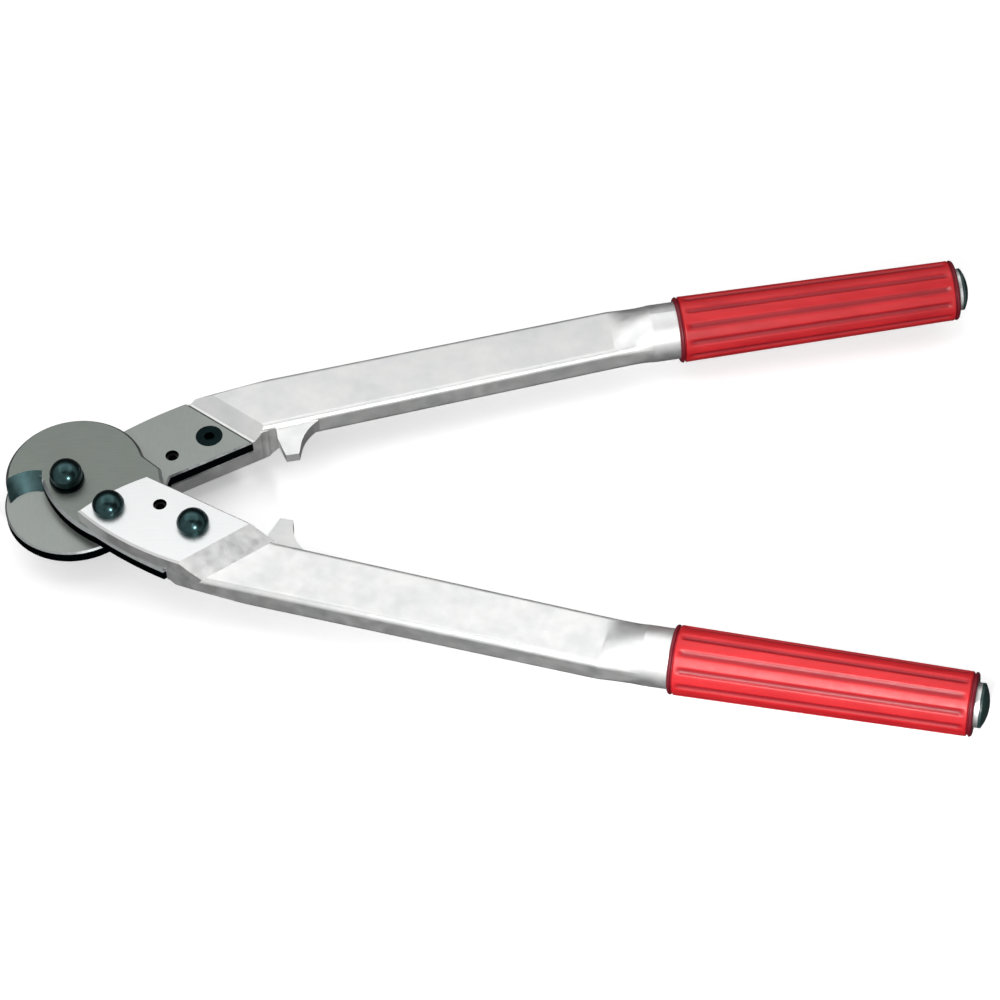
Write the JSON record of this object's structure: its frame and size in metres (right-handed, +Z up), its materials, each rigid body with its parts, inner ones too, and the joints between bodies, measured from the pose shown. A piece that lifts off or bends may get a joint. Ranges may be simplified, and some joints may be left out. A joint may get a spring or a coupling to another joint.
{
  "type": "bolt cutters",
  "caption": "Two-hand cutter with bypass jaws: forged alloy handles joggled to carry bolted-on steel blades on one pivot, stop teeth between the arms and fluted red grips.",
  "frame": {"origin": "on the pivot axis, in the plane where the two blades slide on each other", "axes": "+Z up along the pivot axis, +X from the pivot to the grips along the line midway between the handles"},
  "size_m": [0.5645, 0.3476, 0.0582],
  "materials": {
    "forged_aluminium": "blasted forging with machined faces",
    "blade_steel": "satin grey-green, ground edges",
    "blackened_steel": "blue-black, smooth",
    "spring_steel": "dark, oiled",
    "red_vinyl": "smooth soft vinyl with long flutes",
    "dark_plastic": "smooth, slightly glossy"
  },
  "bodies": {
    "lower_half": {"lower_handle": "forged_aluminium", "lower_blade": "blade_steel", "lower_front_clamp_screw": "blackened_steel", "lower_rear_clamp_screw": "blackened_steel", "lower_front_cap_nut": "blackened_steel", "lower_rear_cap_nut": "blackened_steel", "lower_spring_pin": "spring_steel", "lower_grip": "red_vinyl", "lower_end_plug": "dark_plastic", "pivot_bolt": "blackened_steel", "pivot_cap_nut": "blackened_steel", "pivot_top_washer": "blackened_steel", "pivot_bottom_washer": "blackened_steel"},
    "upper_half": {"upper_handle": "forged_aluminium", "upper_blade": "blade_steel", "upper_front_clamp_screw": "blackened_steel", "upper_rear_clamp_screw": "blackened_steel", "upper_front_cap_nut": "blackened_steel", "upper_rear_cap_nut": "blackened_steel", "upper_spring_pin": "spring_steel", "upper_grip": "red_vinyl", "upper_end_plug": "dark_plastic"}
  },
  "joints": [
    {"name": "pivot_hinge", "type": "hinge", "parent": "lower_half", "child": "upper_half", "pos_m": [0, 0, 0], "axis": [0, 0, 1], "range_deg": [-21.4, 66]}
  ]
}
